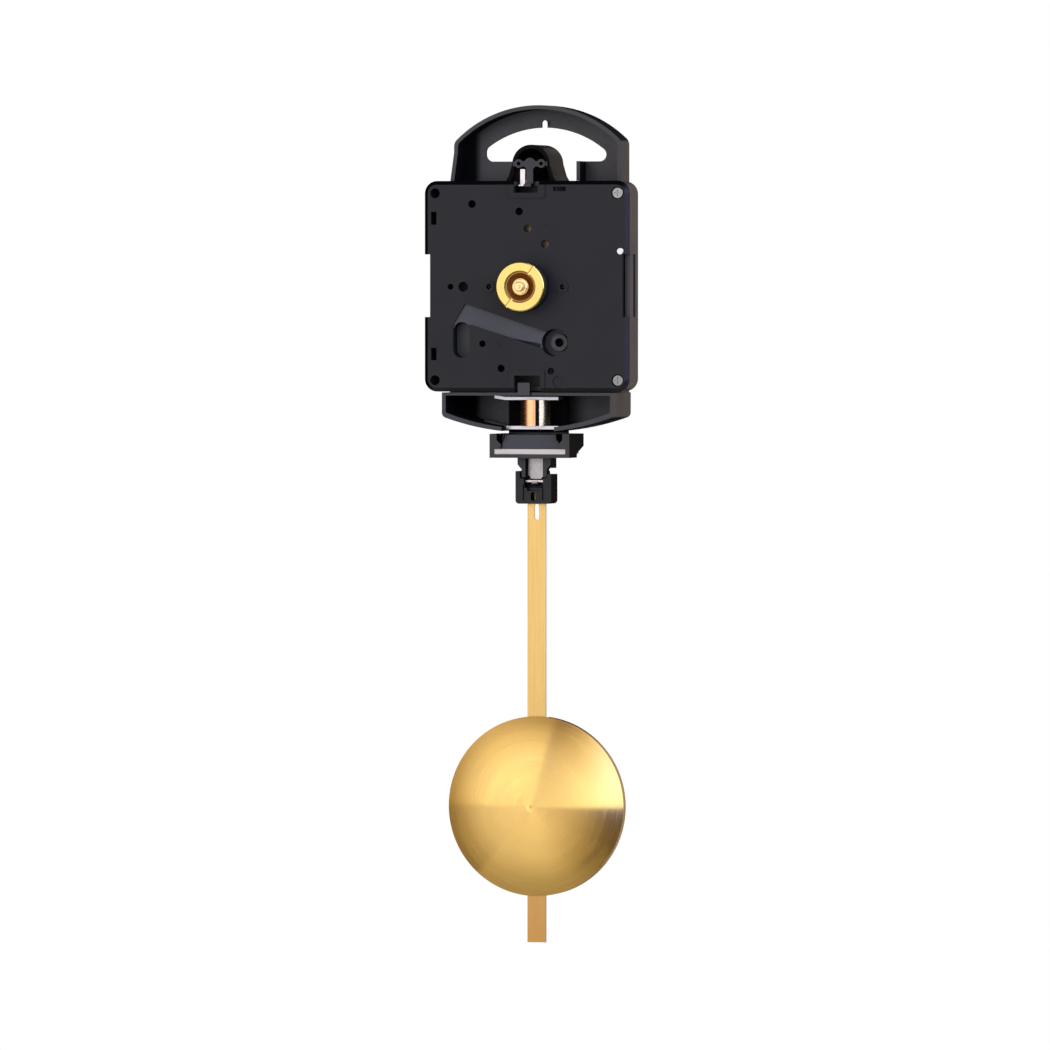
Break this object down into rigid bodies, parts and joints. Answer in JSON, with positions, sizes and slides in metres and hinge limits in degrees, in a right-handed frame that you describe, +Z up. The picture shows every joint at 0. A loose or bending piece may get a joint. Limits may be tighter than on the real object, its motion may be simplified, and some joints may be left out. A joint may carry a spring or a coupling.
{
  "type": "pendulum clock movement",
  "caption": "Square black quartz clock movement with a slotted brass nut on its hand shafts, a hanger frame, a drive coil and a swinging brass pendulum.",
  "frame": {"origin": "on the hand shafts' axis, in the plane of the front cover's outer face, midway between the two small screw bosses", "axes": "+Z up towards the hanger; +X to the right seen from the front; +Y to the rear, away from the hands"},
  "size_m": [0.0702, 0.0388, 0.2801],
  "materials": {
    "cover_plastic": "fine spark-eroded texture",
    "tray_plastic": "smooth satin",
    "case_plastic": "fine texture",
    "frame_plastic": "satin",
    "arch_plastic": "semi gloss",
    "keeper_plastic": "satin",
    "arm_plastic": "satin",
    "clip_plastic": "satin",
    "knob_plastic": "satin",
    "wheel_plastic": "satin",
    "bright_steel": "bright zinc",
    "pole_steel": "blanked, zinc plated",
    "yoke_steel": "matt zinc",
    "contact_steel": "nickel",
    "bush_brass": "turned",
    "nut_brass": "turned, bright",
    "rod_brass": "brushed lengthwise",
    "bob_brass": "spun, circular brushing, lacquered",
    "back_brass": "plain rolled",
    "wheel_brass": "stamped",
    "train_brass": "plain rolled",
    "coil_copper": "enamelled copper wire",
    "magnet_ferrite": "ferrite, ground",
    "washer_rubber": "matt",
    "board_laminate": "brown laminate",
    "chip_resin": "potting resin",
    "cell_jacket": "plain printed foil jacket"
  },
  "bodies": {
    "housing": {"front_cover": "cover_plastic", "recess_tray": "tray_plastic", "rear_case": "case_plastic", "upper_screw": "bright_steel", "lower_screw": "bright_steel", "contact_pin": "bright_steel", "dial_bush": "bush_brass", "dial_washer": "washer_rubber", "dial_nut": "nut_brass", "pendulum_frame": "frame_plastic", "pivot_arch": "arch_plastic", "pivot_keeper": "keeper_plastic", "pivot_leaf": "bright_steel", "pivot_axle": "bright_steel", "coil_core": "pole_steel", "drive_coil": "coil_copper", "train_plate": "train_brass", "motor_stator": "pole_steel", "motor_coil": "coil_copper", "circuit_board": "board_laminate", "quartz_crystal": "bright_steel", "control_chip": "chip_resin", "battery_cell": "cell_jacket", "contact_positive": "contact_steel", "contact_negative": "contact_steel"},
    "pendulum": {"pendulum_arm": "arm_plastic", "drive_magnet": "magnet_ferrite", "yoke_bar": "yoke_steel", "rod_tongue": "bright_steel"},
    "rod": {"rod_clip": "clip_plastic", "hook_pin": "bright_steel", "pendulum_rod": "rod_brass"},
    "bob": {"bob_shell": "bob_brass", "bob_back": "back_brass", "bob_clip": "back_brass"},
    "hour_set": {"hour_wheel": "wheel_brass"},
    "minute_set": {"minute_pinion": "wheel_brass"},
    "motion_set": {"motion_wheel": "wheel_plastic"},
    "knob": {"setting_knob": "knob_plastic"},
    "centre_set": {"centre_wheel": "wheel_brass"},
    "third_set": {"third_wheel": "wheel_plastic"},
    "seconds_set": {"seconds_wheel": "wheel_brass"},
    "step_set": {"step_wheel": "wheel_plastic"},
    "rotor": {"motor_rotor": "magnet_ferrite"}
  },
  "joints": [
    {"name": "pendulum_swing", "type": "hinge", "parent": "housing", "child": "pendulum", "pos_m": [0, 0, 0.041], "axis": [0, 1, 0], "range_deg": [-5.5, 5.5]},
    {"name": "rod_hang", "type": "hinge", "parent": "pendulum", "child": "rod", "pos_m": [0, 0.0134, -0.065], "axis": [1, 0, 0], "range_deg": [-3, 3]},
    {"name": "bob_height", "type": "slide", "parent": "rod", "child": "bob", "axis": [0, 0, 1], "range_m": [-0.015, 0.06]},
    {"name": "minute_turn", "type": "hinge", "parent": "housing", "child": "minute_set", "pos_m": [0, 0, 0], "axis": [0, 1, 0], "continuous": true},
    {"name": "motion_turn", "type": "hinge", "parent": "housing", "child": "motion_set", "pos_m": [0.0084, 0, 0], "axis": [0, 1, 0], "continuous": true},
    {"name": "hour_turn", "type": "hinge", "parent": "housing", "child": "hour_set", "pos_m": [0, 0, 0], "axis": [0, 1, 0], "continuous": true},
    {"name": "knob_turn", "type": "hinge", "parent": "housing", "child": "knob", "pos_m": [0.0182, 0, 0], "axis": [0, 1, 0], "continuous": true},
    {"name": "seconds_turn", "type": "hinge", "parent": "housing", "child": "seconds_set", "pos_m": [0, 0, 0], "axis": [0, 1, 0], "continuous": true},
    {"name": "third_turn", "type": "hinge", "parent": "housing", "child": "third_set", "pos_m": [-0.00649, 0, 0.00649], "axis": [0, 1, 0], "continuous": true},
    {"name": "centre_turn", "type": "hinge", "parent": "housing", "child": "centre_set", "pos_m": [0, 0, 0], "axis": [0, 1, 0], "continuous": true},
    {"name": "step_turn", "type": "hinge", "parent": "housing", "child": "step_set", "pos_m": [0.00564, 0, 0.00205], "axis": [0, 1, 0], "continuous": true},
    {"name": "rotor_turn", "type": "hinge", "parent": "housing", "child": "rotor", "pos_m": [0.00826, 0, 0.0066], "axis": [0, 1, 0], "continuous": true}
  ],
  "couplings": [
    {"joint": "motion_turn", "follows": "minute_turn", "ratio": -0.33333},
    {"joint": "hour_turn", "follows": "minute_turn", "ratio": 0.083333},
    {"joint": "knob_turn", "follows": "minute_turn", "ratio": 0.6},
    {"joint": "third_turn", "follows": "seconds_turn", "ratio": -0.125},
    {"joint": "centre_turn", "follows": "seconds_turn", "ratio": 0.016667},
    {"joint": "step_turn", "follows": "seconds_turn", "ratio": -5},
    {"joint": "rotor_turn", "follows": "seconds_turn", "ratio": 30}
  ]
}
